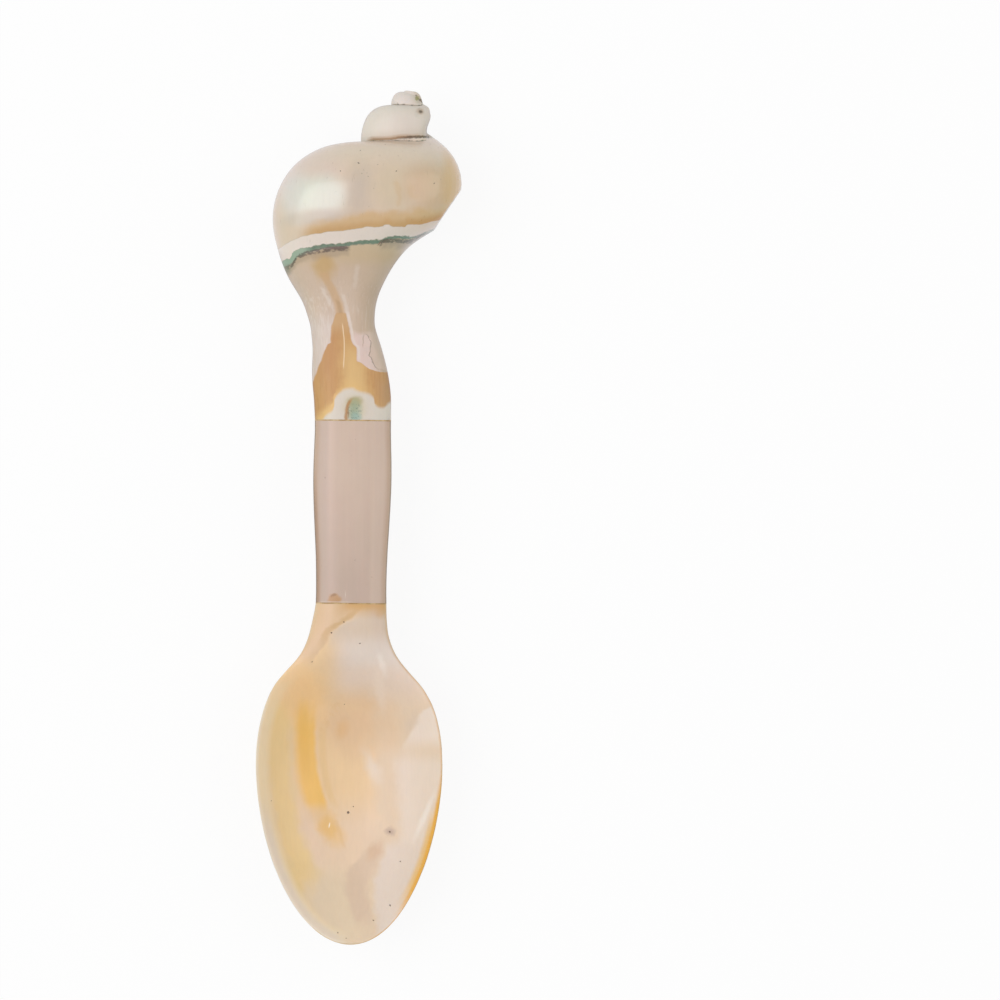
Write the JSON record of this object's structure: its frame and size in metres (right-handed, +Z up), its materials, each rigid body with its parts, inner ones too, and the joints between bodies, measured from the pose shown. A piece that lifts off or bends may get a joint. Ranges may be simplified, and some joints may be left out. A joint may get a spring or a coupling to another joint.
{
  "type": "mother-of-pearl spoon",
  "caption": "Spoon carved from mother-of-pearl: a pointed oval bowl, a bevelled straight bar and a finial cut from the top of a snail's shell, with its spire left whole.",
  "frame": {"origin": "on the table, under the deepest place of the bowl", "axes": "+Z up, +Y from the bowl to the finial, +X to the right of someone who looks into the bowl with the finial away from them"},
  "size_m": [0.0329, 0.1403, 0.0191],
  "materials": {
    "gold_nacre": "gloss",
    "rose_nacre": "gloss",
    "snail_nacre": "gloss",
    "pin_brass": "satin",
    "amber_glue": "gloss"
  },
  "bodies": {
    "root": {"bowl": "gold_nacre", "handle_bar": "rose_nacre", "finial": "snail_nacre", "lower_pin": "pin_brass", "upper_pin": "pin_brass", "lower_glue": "amber_glue", "upper_glue": "amber_glue"}
  },
  "joints": []
}
